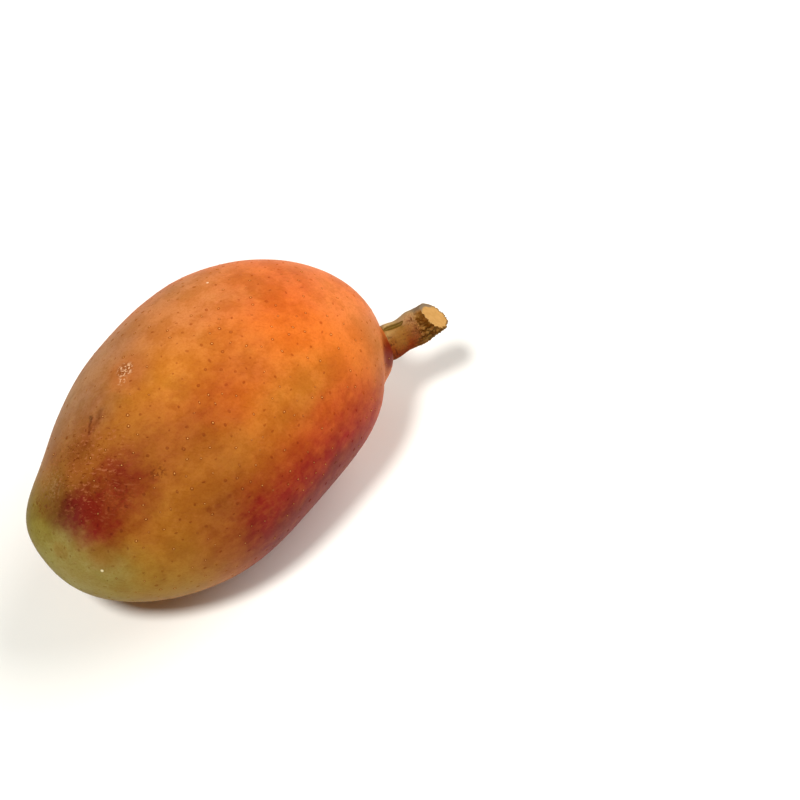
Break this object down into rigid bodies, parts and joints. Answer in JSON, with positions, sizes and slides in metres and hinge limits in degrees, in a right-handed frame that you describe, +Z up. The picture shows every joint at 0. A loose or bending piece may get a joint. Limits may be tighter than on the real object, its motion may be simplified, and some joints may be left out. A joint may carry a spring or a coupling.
{
  "type": "mango",
  "caption": "Whole mango, a stocky oval fruit with a leaning beak and a short slanted-cut woody stem, lying on its side on a small flat spot.",
  "frame": {"origin": "middle of the whole object's box in plan, on the surface that the flat spot rests on", "axes": "+X along the fruit towards its stem end, +Z up, so +Y is the side that the belly and the beak lean to"},
  "size_m": [0.1456, 0.0792, 0.0735],
  "materials": {
    "skin": "waxy smooth skin, orange blushed crimson, olive green at the beak, with small pale breathing pores",
    "bark": "dry olive to dark brown bark with a pale cut face"
  },
  "bodies": {
    "root": {"fruit": "skin", "stem": "bark"}
  },
  "joints": []
}
